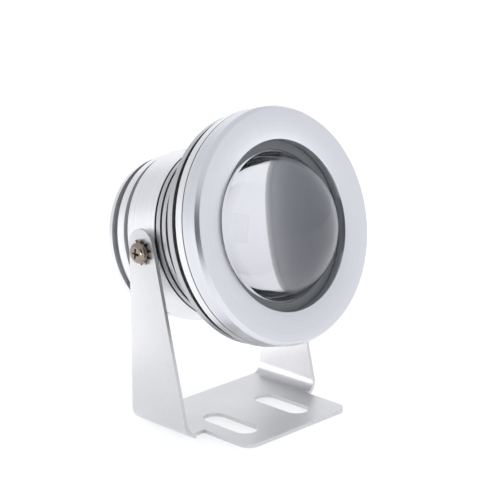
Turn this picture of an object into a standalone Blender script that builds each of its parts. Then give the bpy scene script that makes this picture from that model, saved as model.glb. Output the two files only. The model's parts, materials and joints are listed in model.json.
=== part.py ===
"""Underwater pool light on a swivel bracket.

The lamp head hangs between the two arms of a folded sheet bracket and tilts about their pivot screws.
Metres, +Z up, the lamp faces -Y. The origin is on the underside of the bracket's plate, under the pivot axis.
Inside the head, "a" is the distance forward of the pivot along the lamp's axis, and "r" the radius from it.
"""

import math

import bmesh
import bpy
from mathutils import Matrix, Vector

MM = 0.001
CLEARANCE = 0.3 * MM
SEGMENTS = 48
SMALL_SEGMENTS = 24

# Bracket, folded from one sheet
SHEET = 1.5 * MM
ARM_OUTER_X = 36.3 * MM
PIVOT_HEIGHT = 70.0 * MM
BEND_OUTER_R = 5.9 * MM
BEND_STEPS = 6
REAR_Y = 7.4 * MM
ARM_FRONT_Y_AT_PIVOT = -4.9 * MM
ARM_FRONT_Y_AT_FOOT = -23.3 * MM
ARM_TOP_R = 6.4 * MM
ARM_TOP_RISE = 2.2 * MM
TONGUE_FRONT_Y = -45.5 * MM
TONGUE_LEFT_X = -25.8 * MM
TONGUE_RIGHT_X = 30.0 * MM
TONGUE_CORNER_R = 5.0 * MM
RELIEF_DEPTH = 1.8 * MM
RELIEF_OUTER_X = 31.6 * MM
SLOT_X = 14.3 * MM
SLOT_Y = -24.2 * MM
SLOT_WIDTH = 9.9 * MM
SLOT_LENGTH = 25.8 * MM
PIVOT_HOLE_R = 2.3 * MM

# Lamp head, radii and distances forward of the pivot
TILT = math.radians(15.3)
BEZEL_R = 45.0 * MM
BEZEL_FACE_A = 41.6 * MM
BEZEL_BACK_A = 33.4 * MM
BORE_R = 32.3 * MM
LIP_R = 34.9 * MM
LIP_BACK_A = 37.2 * MM
BARREL_R = 33.8 * MM
BARREL_END_A = -17.8 * MM
REAR_LAND_R = 32.7 * MM
REAR_GROOVE_A = (-14.0 * MM, -10.4 * MM)
REAR_GROOVE_R = 31.3 * MM
FINE_GROOVES_A = ((5.2 * MM, 6.2 * MM), (8.3 * MM, 9.5 * MM), (11.5 * MM, 12.7 * MM))
FINE_GROOVE_R = 32.4 * MM
FLARE_BACK_A = 16.0 * MM
SMALL_FIN_A = (18.6 * MM, 20.6 * MM)
SMALL_FIN_R = 38.5 * MM
BIG_FIN_A = (24.3 * MM, 26.8 * MM)
BIG_FIN_R = 44.0 * MM
GAP_R = 40.5 * MM
FLANGE_BACK_A = 29.9 * MM
FLANGE_FRONT_A = BEZEL_BACK_A - CLEARANCE
SPIGOT_R = 41.3 * MM
SPIGOT_FRONT_A = 38.5 * MM
SPIGOT_BORE_R = LIP_R + 0.4 * MM
FRONT_CAVITY_R = 29.5 * MM
LENS_SEAT_A = 30.2 * MM
LENS_BACK_A = 32.6 * MM
LENS_FLANGE_A = 35.6 * MM
DOME_BASE_A = 37.0 * MM
DOME_BASE_R = 28.1 * MM
DOME_R = 30.0 * MM
GASKET_INNER_R = 28.7 * MM
WEB_FRONT_A = 19.0 * MM
WEB_BACK_A = 15.0 * MM
WEB_POCKET_R = 24.5 * MM
DRIVER_SHOULDER_A = 7.0 * MM
REAR_CAVITY_R = 26.5 * MM
CAP_THREAD_A = -9.0 * MM
CAP_THREAD_R = 28.0 * MM
CAP_BACK_A = -24.5 * MM
CAP_R = 32.0 * MM
CAP_PLUG_R = 27.7 * MM
BOARD_SCREW_CIRCLE_R = 13.0 * MM
BOARD_SCREW_ANGLES = (90.0, 210.0, 330.0)
BOARD_R = 16.0 * MM
BOARD_HOLE_R = 1.6 * MM
LEAD_CIRCLE_R = 20.5 * MM

# Pivot hardware, M4
SHANK_R = 1.95 * MM
SCREW_HEAD_R = 4.0 * MM
WASHER_R = 5.1 * MM
PAD_X = 33.3 * MM


def clear_scene():
    for obj in list(bpy.data.objects):
        bpy.data.objects.remove(obj, do_unlink=True)


def finish(name, colour, roughness, metallic, transmission=0.0):
    """A Principled material; colour is linear RGB."""
    material = bpy.data.materials.new(name)
    material.use_nodes = True
    shader = material.node_tree.nodes["Principled BSDF"]
    shader.inputs["Base Color"].default_value = (*colour, 1.0)
    shader.inputs["Roughness"].default_value = roughness
    shader.inputs["Metallic"].default_value = metallic
    shader.inputs["Transmission Weight"].default_value = transmission
    return material


def add_object(name, bm, material, parent=None, smooth_angle=35.0):
    """Turns a bmesh with outward faces into a named object."""
    bmesh.ops.remove_doubles(bm, verts=bm.verts, dist=1e-6)
    bmesh.ops.recalc_face_normals(bm, faces=bm.faces)
    mesh = bpy.data.meshes.new(name)
    bm.to_mesh(mesh)
    bm.free()
    mesh.shade_smooth()
    mesh.set_sharp_from_angle(angle=math.radians(smooth_angle))
    mesh.materials.append(material)
    obj = bpy.data.objects.new(name, mesh)
    bpy.context.scene.collection.objects.link(obj)
    obj.parent = parent
    return obj


def turned(profile, steps=SEGMENTS):
    """Spins a closed outline of (a, r) points about the lamp's axis, which is the local -Y axis."""
    bm = bmesh.new()
    verts = [bm.verts.new((0.0, -a, r)) for a, r in profile]
    edges = [bm.edges.new((v, w)) for v, w in zip(verts, verts[1:] + verts[:1])]
    bmesh.ops.spin(bm, geom=verts + edges, cent=(0, 0, 0), axis=(0, 1, 0),
                   angle=math.tau, steps=steps, use_merge=True)
    on_axis = [v for v in bm.verts if math.hypot(v.co.x, v.co.z) < 1e-7]
    bmesh.ops.remove_doubles(bm, verts=on_axis, dist=1e-6)
    bmesh.ops.dissolve_degenerate(bm, edges=bm.edges, dist=1e-7)
    return bm


def ring(back_a, front_a, inner_r, outer_r, steps=SEGMENTS):
    """A plain washer shape around the lamp's axis."""
    return turned([(back_a, inner_r), (back_a, outer_r), (front_a, outer_r), (front_a, inner_r)], steps)


def cylinder(centre, axis, radius, length, steps=SMALL_SEGMENTS):
    """A solid cylinder centred on a point, along axis."""
    bm = bmesh.new()
    turn = Vector((0, 0, 1)).rotation_difference(Vector(axis)).to_matrix().to_4x4()
    bmesh.ops.create_cone(bm, cap_ends=True, segments=steps, radius1=radius, radius2=radius,
                          depth=length, matrix=Matrix.Translation(centre) @ turn)
    return bm


def disc(back_a, front_a, radius, steps=SEGMENTS):
    """A plain disc on the lamp's axis."""
    return cylinder((0, -(back_a + front_a) / 2, 0), (0, 1, 0), radius, front_a - back_a, steps)


def o_ring(centre_a, centre_r, section_r, sides=6):
    """A torus around the lamp's axis."""
    angles = [math.tau * i / sides for i in range(sides)]
    return turned([(centre_a + section_r * math.cos(t), centre_r + section_r * math.sin(t)) for t in angles])


def extruded(outline, start, height):
    """A prism: a closed list of points in 3D, all in one plane, swept by the vector height."""
    bm = bmesh.new()
    face = bm.faces.new([bm.verts.new(Vector(start) + Vector(point)) for point in outline])
    swept = bmesh.ops.extrude_face_region(bm, geom=[face])["geom"]
    moved = [item for item in swept if isinstance(item, bmesh.types.BMVert)]
    bmesh.ops.translate(bm, verts=moved, vec=height)
    return bm


def arc(centre, radius, start_deg, end_deg, steps):
    """Points on an arc in a plane, as (u, v) pairs."""
    angles = [math.radians(start_deg + (end_deg - start_deg) * i / steps) for i in range(steps + 1)]
    return [(centre[0] + radius * math.cos(t), centre[1] + radius * math.sin(t)) for t in angles]


def apply_boolean(obj, operation, cutter_bm):
    """Cuts obj with a helper solid, then removes the helper."""
    helper = add_object(obj.name + "_helper", cutter_bm, obj.data.materials[0], obj.parent)
    helper.hide_render = True
    helper.display_type = "WIRE"
    modifier = obj.modifiers.new(operation.lower(), "BOOLEAN")
    modifier.operation = operation
    modifier.object = helper
    bpy.context.view_layer.update()
    graph = bpy.context.evaluated_depsgraph_get()
    result = bpy.data.meshes.new_from_object(obj.evaluated_get(graph))
    obj.modifiers.clear()
    obj.data = result
    result.name = obj.name
    result.set_sharp_from_angle(angle=math.radians(35.0))
    bpy.data.objects.remove(helper, do_unlink=True)


def bracket_section():
    """The U of the folded sheet, seen from the front, as (x, z) points."""
    top = PIVOT_HEIGHT + ARM_TOP_RISE + ARM_TOP_R + 2 * MM
    bend_x = ARM_OUTER_X - BEND_OUTER_R
    inner_r = BEND_OUTER_R - SHEET
    inner_x = ARM_OUTER_X - SHEET
    left = (-bend_x, BEND_OUTER_R)
    right = (bend_x, BEND_OUTER_R)
    outer = arc(left, BEND_OUTER_R, 180, 270, BEND_STEPS) + arc(right, BEND_OUTER_R, 270, 360, BEND_STEPS)
    inner = arc(right, inner_r, 360, 270, BEND_STEPS) + arc(left, inner_r, 270, 180, BEND_STEPS)
    return [(-ARM_OUTER_X, top)] + outer + [(ARM_OUTER_X, top), (inner_x, top)] + inner + [(-inner_x, top)]


def bracket_side():
    """The bracket's outline seen from the side, as (y, z) points: foot, slanted arm and rounded top."""
    centre_y = REAR_Y - ARM_TOP_R
    centre_z = PIVOT_HEIGHT + ARM_TOP_RISE
    slant = math.degrees(math.atan2(ARM_FRONT_Y_AT_PIVOT - ARM_FRONT_Y_AT_FOOT, PIVOT_HEIGHT))
    top = arc((centre_y, centre_z), ARM_TOP_R, 0, 180 - slant, 14)
    low = -SHEET
    over_plate = 2 * SHEET
    front = TONGUE_FRONT_Y - SHEET
    return [(front, low), (REAR_Y, low)] + top + [(ARM_FRONT_Y_AT_FOOT, over_plate), (front, over_plate)]


def bracket_plan():
    """The outline of foot and tongue, as (x, y) points, with a relief notch at the end of each bend."""
    r = TONGUE_CORNER_R
    left = TONGUE_LEFT_X
    right = TONGUE_RIGHT_X
    notch_y = ARM_FRONT_Y_AT_FOOT + RELIEF_DEPTH
    corner_y = TONGUE_FRONT_Y + r
    beyond_x = ARM_OUTER_X + SHEET
    beyond_y = REAR_Y + SHEET
    return (
        [(-beyond_x, beyond_y), (-beyond_x, ARM_FRONT_Y_AT_FOOT), (-RELIEF_OUTER_X, ARM_FRONT_Y_AT_FOOT),
         (-RELIEF_OUTER_X, notch_y), (left, notch_y)]
        + arc((left + r, corner_y), r, 180, 270, 8)
        + arc((right - r, corner_y), r, 270, 360, 8)
        + [(right, notch_y), (RELIEF_OUTER_X, notch_y), (RELIEF_OUTER_X, ARM_FRONT_Y_AT_FOOT),
           (beyond_x, ARM_FRONT_Y_AT_FOOT), (beyond_x, beyond_y)]
    )


def slot_outline(centre_x):
    """An obround slot that runs front to back, as (x, y) points."""
    r = SLOT_WIDTH / 2
    reach = SLOT_LENGTH / 2 - r
    return (arc((centre_x, SLOT_Y + reach), r, 0, 180, 10)
            + arc((centre_x, SLOT_Y - reach), r, 180, 360, 10))


def make_bracket(material):
    """One laser-cut sheet, folded up into two arms."""
    depth = REAR_Y - TONGUE_FRONT_Y
    section = [(x, 0, z) for x, z in bracket_section()]
    obj = add_object("bracket", extruded(section, (0, TONGUE_FRONT_Y, 0), (0, depth, 0)), material)
    width = 2 * (ARM_OUTER_X + SHEET)
    side = [(0, y, z) for y, z in bracket_side()]
    apply_boolean(obj, "INTERSECT", extruded(side, (-width / 2, 0, 0), (width, 0, 0)))
    plan_height = PIVOT_HEIGHT + 20 * MM
    plan = [(x, y, 0) for x, y in bracket_plan()]
    apply_boolean(obj, "INTERSECT", extruded(plan, (0, 0, -SHEET / 2), (0, 0, plan_height)))
    for x in (-SLOT_X, SLOT_X):
        slot = [(u, v, 0) for u, v in slot_outline(x)]
        apply_boolean(obj, "DIFFERENCE", extruded(slot, (0, 0, -SHEET), (0, 0, 3 * SHEET)))
    apply_boolean(obj, "DIFFERENCE", cylinder((0, 0, PIVOT_HEIGHT), (1, 0, 0), PIVOT_HOLE_R, width))


def make_pivot():
    """The empty that the whole head hangs on; it tips the lamp up from level."""
    pivot = bpy.data.objects.new("head_pivot", None)
    bpy.context.scene.collection.objects.link(pivot)
    pivot.location = (0, 0, PIVOT_HEIGHT)
    pivot.rotation_euler.x = -TILT
    return pivot


def groove(back, front, outer_r, floor_r):
    """Four points of a square groove cut into a land of radius outer_r, from back to front."""
    return [(back, outer_r), (back, floor_r), (front, floor_r), (front, outer_r)]


def housing_profile():
    """The barrel, its grooves and fins, the flange and the spigot, then the cavities from front to back."""
    outside = [(BARREL_END_A, REAR_LAND_R)]
    outside += groove(*REAR_GROOVE_A, REAR_LAND_R, REAR_GROOVE_R)[:-1]
    outside += [(REAR_GROOVE_A[1], BARREL_R)]
    for back, front in FINE_GROOVES_A:
        outside += groove(back, front, BARREL_R, FINE_GROOVE_R)
    outside += [(FLARE_BACK_A, BARREL_R), (SMALL_FIN_A[0], 35.0 * MM)]
    outside += [(SMALL_FIN_A[0], SMALL_FIN_R), (SMALL_FIN_A[1], SMALL_FIN_R), (SMALL_FIN_A[1], 36.0 * MM)]
    outside += [(23.5 * MM, 37.2 * MM), (BIG_FIN_A[0], BIG_FIN_R), (BIG_FIN_A[1], BIG_FIN_R)]
    outside += [(BIG_FIN_A[1], GAP_R), (FLANGE_BACK_A, GAP_R), (FLANGE_BACK_A, BEZEL_R)]
    outside += [(FLANGE_FRONT_A, BEZEL_R), (FLANGE_FRONT_A, SPIGOT_R), (SPIGOT_FRONT_A, SPIGOT_R)]
    inside = [(SPIGOT_FRONT_A, SPIGOT_BORE_R), (LENS_SEAT_A, SPIGOT_BORE_R), (LENS_SEAT_A, FRONT_CAVITY_R)]
    inside += [(WEB_FRONT_A, FRONT_CAVITY_R), (WEB_FRONT_A, 0.0)]
    rear = [(WEB_BACK_A, 0.0), (WEB_BACK_A, WEB_POCKET_R), (DRIVER_SHOULDER_A, WEB_POCKET_R)]
    rear += [(DRIVER_SHOULDER_A, REAR_CAVITY_R), (CAP_THREAD_A, REAR_CAVITY_R), (CAP_THREAD_A, CAP_THREAD_R)]
    rear += [(BARREL_END_A, CAP_THREAD_R)]
    return outside + inside + rear


def around_axis(radius, angle_deg, a):
    """A point at a given radius and clock angle about the lamp's axis; 90 degrees is up."""
    t = math.radians(angle_deg)
    return (radius * math.cos(t), -a, radius * math.sin(t))


def make_housing(material, pivot):
    """Turned barrel with a heat-conducting web, two flats with pivot holes, screw holes and a wire hole."""
    obj = add_object("housing", turned(housing_profile()), material, pivot)
    for side in (-1, 1):
        pad_depth = BARREL_R - PAD_X + 2 * MM
        pad_centre = (side * (PAD_X + pad_depth / 2), 0, 0)
        apply_boolean(obj, "DIFFERENCE", cylinder(pad_centre, (1, 0, 0), 5.6 * MM, pad_depth))
        hole_bottom = 28.4 * MM
        hole_depth = PAD_X + MM - hole_bottom
        hole_centre = (side * (hole_bottom + hole_depth / 2), 0, 0)
        apply_boolean(obj, "DIFFERENCE", cylinder(hole_centre, (1, 0, 0), PIVOT_HOLE_R, hole_depth))
    for angle in BOARD_SCREW_ANGLES:
        hole_centre = around_axis(BOARD_SCREW_CIRCLE_R, angle, WEB_FRONT_A)
        apply_boolean(obj, "DIFFERENCE", cylinder(hole_centre, (0, 1, 0), BOARD_HOLE_R, 6 * MM, 12))
    web_middle = (WEB_FRONT_A + WEB_BACK_A) / 2
    wire_hole = cylinder(around_axis(LEAD_CIRCLE_R, 270, web_middle), (0, 1, 0), 2.9 * MM, 6 * MM, 16)
    apply_boolean(obj, "DIFFERENCE", wire_hole)


def make_bezel(material, pivot):
    """The screw-on front ring, with an inner lip that presses the gasket on the lens."""
    wall_back = 38.9 * MM
    skirt_r = SPIGOT_R + CLEARANCE
    outline = [
        (BEZEL_BACK_A, skirt_r), (BEZEL_BACK_A, BEZEL_R), (39.8 * MM, BEZEL_R), (BEZEL_FACE_A, 43.9 * MM),
        (BEZEL_FACE_A, 35.5 * MM), (40.8 * MM, BORE_R), (LIP_BACK_A, BORE_R), (LIP_BACK_A, LIP_R),
        (wall_back, LIP_R), (wall_back, skirt_r),
    ]
    add_object("bezel", turned(outline), material, pivot)


def make_lens(material, pivot):
    """Plano-convex glass: a flange that the gasket grips, and a dome that stands out of the bezel."""
    half_angle = math.asin(DOME_BASE_R / DOME_R)
    centre_a = DOME_BASE_A - DOME_R * math.cos(half_angle)
    steps = 9
    dome = [(centre_a + DOME_R * math.cos(half_angle * (1 - i / steps)),
             DOME_R * math.sin(half_angle * (1 - i / steps))) for i in range(steps)]
    outline = [(LENS_BACK_A, 0.0), (LENS_BACK_A, LIP_R), (LENS_FLANGE_A, LIP_R), (LENS_FLANGE_A, DOME_BASE_R)]
    add_object("lens", turned(outline + dome + [(centre_a + DOME_R, 0.0)]), material, pivot, 30.0)


def make_light_engine(finishes, pivot):
    """Thermal pad, metal-core board, emitter, reflector and three board screws, stacked on the web."""
    pad_back = WEB_FRONT_A + CLEARANCE
    pad = add_object("thermal_pad", disc(pad_back, pad_back + 0.5 * MM, BOARD_R, 32), finishes["pad"], pivot)
    board_back = pad_back + 0.8 * MM
    board_front = board_back + 1.6 * MM
    board = add_object("led_board", disc(board_back, board_front, BOARD_R, 32), finishes["board"], pivot)
    for angle in BOARD_SCREW_ANGLES:
        for part, middle in ((pad, pad_back), (board, board_front)):
            hole_centre = around_axis(BOARD_SCREW_CIRCLE_R, angle, middle)
            apply_boolean(part, "DIFFERENCE", cylinder(hole_centre, (0, 1, 0), BOARD_HOLE_R, 4 * MM, 12))
    emitter_back = board_front + CLEARANCE
    half = 5.0 * MM
    square = [(-half, 0, -half), (half, 0, -half), (half, 0, half), (-half, 0, half)]
    emitter = extruded(square, (0, -emitter_back, 0), (0, -1.2 * MM, 0))
    add_object("led_emitter", emitter, finishes["phosphor"], pivot)
    for index, angle in enumerate(BOARD_SCREW_ANGLES):
        centre = around_axis(BOARD_SCREW_CIRCLE_R, angle, 0.0)
        shape = screw_shape(emitter_back, 2.3 * MM, 1.3 * MM, 1.3 * MM, 5.0 * MM, 16)
        bmesh.ops.translate(shape, verts=shape.verts, vec=centre)
        add_object(f"board_screw_{index + 1}", shape, finishes["screw"], pivot)
    small_r = 8.5 * MM
    large_r = 28.6 * MM
    wall = 0.8 * MM
    back = 22.9 * MM
    front = 29.6 * MM
    outline = [(back, small_r), (back, small_r + wall), (front, large_r), (front + wall, large_r),
               (front + wall, large_r - wall)]
    add_object("reflector", turned(outline), finishes["mirror"], pivot)


def screw_shape(under_head_a, head_r, head_height, shank_r, length, steps=SMALL_SEGMENTS):
    """A low pan head on a plain shank, both about the -Y axis, head forward."""
    top = under_head_a + head_height
    outline = [
        (under_head_a - length, 0.0), (under_head_a - length, shank_r), (under_head_a, shank_r),
        (under_head_a, head_r), (under_head_a + 0.45 * head_height, head_r),
        (under_head_a + 0.85 * head_height, 0.75 * head_r), (top, 0.35 * head_r), (top, 0.0),
    ]
    return turned(outline, steps)


def make_driver(finishes, pivot):
    """A round board on the barrel's shoulder, with three parts behind it and two leads through the web."""
    board_front = DRIVER_SHOULDER_A - CLEARANCE
    board_back = board_front - 1.6 * MM
    add_object("driver_board", disc(board_back, board_front, 26.1 * MM, 40), finishes["driver"], pivot)
    parts_front = board_back - CLEARANCE
    capacitor = disc(parts_front - 10 * MM, parts_front, 4.0 * MM, 20)
    bmesh.ops.translate(capacitor, verts=capacitor.verts, vec=around_axis(12.0 * MM, 25, 0.0))
    add_object("capacitor", capacitor, finishes["sleeve"], pivot)
    inductor = ring(parts_front - 6 * MM, parts_front, 2.6 * MM, 6.5 * MM, 24)
    bmesh.ops.translate(inductor, verts=inductor.verts, vec=around_axis(12.5 * MM, 150, 0.0))
    add_object("inductor", inductor, finishes["ferrite"], pivot)
    half = 4.2 * MM
    square = [(-half, 0, -half), (half, 0, -half), (half, 0, half), (-half, 0, half)]
    rectifier = extruded(square, around_axis(11.0 * MM, 265, parts_front), (0, 3.2 * MM, 0))
    add_object("rectifier", rectifier, finishes["epoxy"], pivot)
    for name, offset in (("lead_positive", 1.3 * MM), ("lead_negative", -1.3 * MM)):
        make_lead(name, offset, board_front, finishes[name], pivot)


def make_lead(name, offset, board_front, material, pivot):
    """One insulated lead, from the driver board through the web's hole to the edge of the LED board."""
    lead_r = 0.7 * MM
    depths = (board_front + CLEARANCE, 12 * MM, 19.5 * MM, 21.6 * MM, 22.7 * MM, 22.9 * MM)
    radii = (LEAD_CIRCLE_R, LEAD_CIRCLE_R, LEAD_CIRCLE_R, 19.6 * MM, 17.2 * MM, 14.9 * MM)
    curve = bpy.data.curves.new(name, "CURVE")
    curve.dimensions = "3D"
    curve.bevel_depth = lead_r
    curve.bevel_resolution = 2
    curve.use_fill_caps = True
    spline = curve.splines.new("POLY")
    spline.points.add(len(depths) - 1)
    for point, a, r in zip(spline.points, depths, radii):
        point.co = (offset, -a, -r, 1.0)
    curve.materials.append(material)
    obj = bpy.data.objects.new(name, curve)
    bpy.context.scene.collection.objects.link(obj)
    obj.parent = pivot


def make_rear_cap(material, pivot):
    """The screw-in back plate, with a deep groove behind its rim, an O-ring groove and two spanner holes."""
    rim_front = -21.8 * MM
    neck_front = BARREL_END_A - CLEARANCE
    plug_front = -10.5 * MM
    wall_front = -20.5 * MM
    bore_r = 6.3 * MM
    neck_r = 30.0 * MM
    recess_r = 24.2 * MM
    chamfer = 0.8 * MM
    outline = [(CAP_BACK_A, bore_r), (CAP_BACK_A, CAP_R - chamfer), (CAP_BACK_A + chamfer, CAP_R)]
    outline += [(rim_front, CAP_R), (rim_front, neck_r), (neck_front, neck_r), (neck_front, CAP_PLUG_R)]
    outline += groove(-16.4 * MM, -14.2 * MM, CAP_PLUG_R, 25.9 * MM)
    outline += [(plug_front, CAP_PLUG_R), (plug_front, recess_r)]
    outline += [(wall_front, recess_r), (wall_front, bore_r)]
    obj = add_object("rear_cap", turned(outline), material, pivot)
    for angle in (0, 180):
        hole = cylinder(around_axis(21.0 * MM, angle, CAP_BACK_A), (0, 1, 0), 2.1 * MM, 5 * MM, 20)
        apply_boolean(obj, "DIFFERENCE", hole)


def hexagon(back_a, front_a, across_flats, bore_r):
    """A hexagonal collar with a round bore, on the lamp's axis."""
    bm = ring(back_a, front_a, bore_r, across_flats / math.sqrt(3))
    for vert in bm.verts:
        if math.hypot(vert.co.x, vert.co.z) > bore_r + 0.1 * MM:
            angle = math.atan2(vert.co.z, vert.co.x)
            from_flat = (angle % (math.tau / 6)) - math.tau / 12
            radius = across_flats / 2 / math.cos(from_flat)
            vert.co.x = radius * math.cos(angle)
            vert.co.z = radius * math.sin(angle)
    return bm


def make_gland(finishes, pivot):
    """The cable gland in the middle of the rear cap: sealing washer, body, rubber sleeve and nut."""
    washer_front = CAP_BACK_A - CLEARANCE
    washer_back = washer_front - 1.0 * MM
    washer = ring(washer_back, washer_front, 6.5 * MM, 8.9 * MM, 32)
    add_object("gland_washer", washer, finishes["rubber"], pivot)
    collar_front = washer_back - CLEARANCE
    collar_back = collar_front - 3.5 * MM
    bore_r = 4.3 * MM
    body = hexagon(collar_back, collar_front, 17.0 * MM, bore_r)
    obj = add_object("gland_body", body, finishes["gland"], pivot)
    thread_front = -19.6 * MM
    apply_boolean(obj, "UNION", ring(thread_front, collar_back + MM, bore_r, 6.0 * MM))
    neck_back = -36.0 * MM
    apply_boolean(obj, "UNION", ring(collar_front - MM, neck_back, bore_r, 6.4 * MM))
    add_object("gland_seal", ring(-36.6 * MM, -30.0 * MM, 2.5 * MM, 4.0 * MM, 32), finishes["rubber"], pivot)
    nut_front = collar_back - CLEARANCE
    nut_r = 8.4 * MM
    inner_r = 6.7 * MM
    nut_back = -40.0 * MM
    thread_back = -37.2 * MM
    outline = [(nut_front, inner_r), (nut_front, nut_r), (-36.6 * MM, nut_r), (-38.6 * MM, 7.6 * MM)]
    outline += [(nut_back, 5.4 * MM), (nut_back, 3.4 * MM), (thread_back, 3.9 * MM), (thread_back, inner_r)]
    add_object("gland_nut", turned(outline), finishes["gland"], pivot)


def make_seals(material, pivot):
    """The black silicone gasket in front of the lens, and the O-rings behind it and on the rear cap."""
    gasket_back = LENS_FLANGE_A + CLEARANCE
    gasket = ring(gasket_back, LIP_BACK_A - CLEARANCE, GASKET_INNER_R, LIP_R)
    add_object("lens_gasket", gasket, material, pivot)
    ring_r = 0.9 * MM
    add_object("lens_o_ring", o_ring(LENS_SEAT_A + CLEARANCE + ring_r, 32.4 * MM, ring_r), material, pivot)
    add_object("cap_o_ring", o_ring(-15.3 * MM, 26.95 * MM, 0.7 * MM), material, pivot)


def toothed_washer(inner_r, outer_r, thickness, teeth):
    """An external-tooth lock washer about the -Y axis."""
    bm = bmesh.new()
    root_r = outer_r - 1.1 * MM
    steps_per_tooth = 4
    steps = teeth * steps_per_tooth
    outline = []
    for i in range(steps):
        t = math.tau * i / steps
        r = outer_r if i % steps_per_tooth < 2 else root_r
        outline.append((r * math.cos(t), r * math.sin(t)))
    rims = []
    turns = [math.tau * i / steps for i in range(steps)]
    bore = [(inner_r * math.cos(t), inner_r * math.sin(t)) for t in turns]
    for y in (0.0, thickness):
        outer = [bm.verts.new((x, y, z)) for x, z in outline]
        inner = [bm.verts.new((x, y, z)) for x, z in bore]
        rims.append((outer, inner))
    (low_outer, low_inner), (high_outer, high_inner) = rims
    for i in range(steps):
        j = (i + 1) % steps
        bm.faces.new((low_outer[i], low_outer[j], low_inner[j], low_inner[i]))
        bm.faces.new((high_outer[j], high_outer[i], high_inner[i], high_inner[j]))
        bm.faces.new((low_outer[j], low_outer[i], high_outer[i], high_outer[j]))
        bm.faces.new((low_inner[i], low_inner[j], high_inner[j], high_inner[i]))
    return bm


def make_pivot_hardware(finishes, pivot):
    """On each side: a nylon spacer against the barrel, then arm, toothed washer and pan-head screw."""
    inner_face = ARM_OUTER_X - SHEET
    thickness = 0.7 * MM
    washer_inner = ARM_OUTER_X + CLEARANCE
    under_head = washer_inner + thickness + CLEARANCE
    for side, name in ((-1, "left"), (1, "right")):
        face_out = Matrix.Rotation(side * math.pi / 2, 4, "Z")
        spacer = ring(PAD_X + CLEARANCE, inner_face - CLEARANCE, PIVOT_HOLE_R, 5.2 * MM, SMALL_SEGMENTS)
        spacer.transform(face_out)
        add_object(f"spacer_{name}", spacer, finishes["nylon"], pivot)
        washer = toothed_washer(PIVOT_HOLE_R, WASHER_R, thickness, 10)
        washer.transform(face_out @ Matrix.Translation((0, -washer_inner - thickness, 0)))
        add_object(f"lock_washer_{name}", washer, finishes["screw"], pivot)
        screw = screw_shape(under_head, SCREW_HEAD_R, 2.6 * MM, SHANK_R, 8.2 * MM)
        screw.transform(face_out)
        add_object(f"pivot_screw_{name}", screw, finishes["screw"], pivot)


def main():
    clear_scene()
    aluminium = finish("anodised_aluminium", (0.78, 0.78, 0.80), 0.32, 1.0)
    rubber = finish("silicone_rubber", (0.02, 0.02, 0.02), 0.6, 0.0)
    finishes = {
        "rubber": rubber,
        "gland": finish("nickel_plated_brass", (0.66, 0.64, 0.60), 0.28, 1.0),
        "pad": finish("silicone_thermal_pad", (0.25, 0.33, 0.42), 0.8, 0.0),
        "board": finish("white_solder_mask", (0.80, 0.80, 0.78), 0.45, 0.0),
        "phosphor": finish("yellow_phosphor", (0.80, 0.55, 0.08), 0.5, 0.0),
        "mirror": finish("metallised_plastic", (0.85, 0.85, 0.85), 0.08, 1.0),
        "screw": finish("stainless_steel", (0.58, 0.55, 0.52), 0.25, 1.0),
        "nylon": finish("black_nylon", (0.03, 0.03, 0.03), 0.5, 0.0),
        "driver": finish("green_solder_mask", (0.02, 0.18, 0.06), 0.4, 0.0),
        "sleeve": finish("printed_sleeve", (0.03, 0.04, 0.10), 0.4, 0.0),
        "ferrite": finish("wound_ferrite", (0.30, 0.12, 0.04), 0.4, 0.0),
        "epoxy": finish("moulded_epoxy", (0.02, 0.02, 0.02), 0.5, 0.0),
        "lead_positive": finish("red_insulation", (0.50, 0.02, 0.02), 0.5, 0.0),
        "lead_negative": finish("black_insulation", (0.02, 0.02, 0.02), 0.5, 0.0),
    }
    make_bracket(finish("silver_painted_sheet", (0.72, 0.73, 0.74), 0.45, 0.6))
    pivot = make_pivot()
    make_housing(aluminium, pivot)
    make_light_engine(finishes, pivot)
    make_driver(finishes, pivot)
    make_seals(rubber, pivot)
    make_lens(finish("optical_glass", (0.90, 0.91, 0.93), 0.02, 0.0, 1.0), pivot)
    make_bezel(aluminium, pivot)
    make_rear_cap(aluminium, pivot)
    make_gland(finishes, pivot)
    make_pivot_hardware(finishes, pivot)


main()
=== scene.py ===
"""Underwater pool light on its swivel bracket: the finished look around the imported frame.

The order is the order of assembly: bracket, housing, what the housing holds, lens, bezel, rear cap, gland and
pivot screws. Metres, +Z up, the lamp faces -Y. In the lamp's own frame, "a" is the distance forward of the
pivot along the lamp's axis and "r" the distance from that axis.
"""

import json
import math

import bmesh
import bpy
from mathutils import Matrix, Vector


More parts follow.
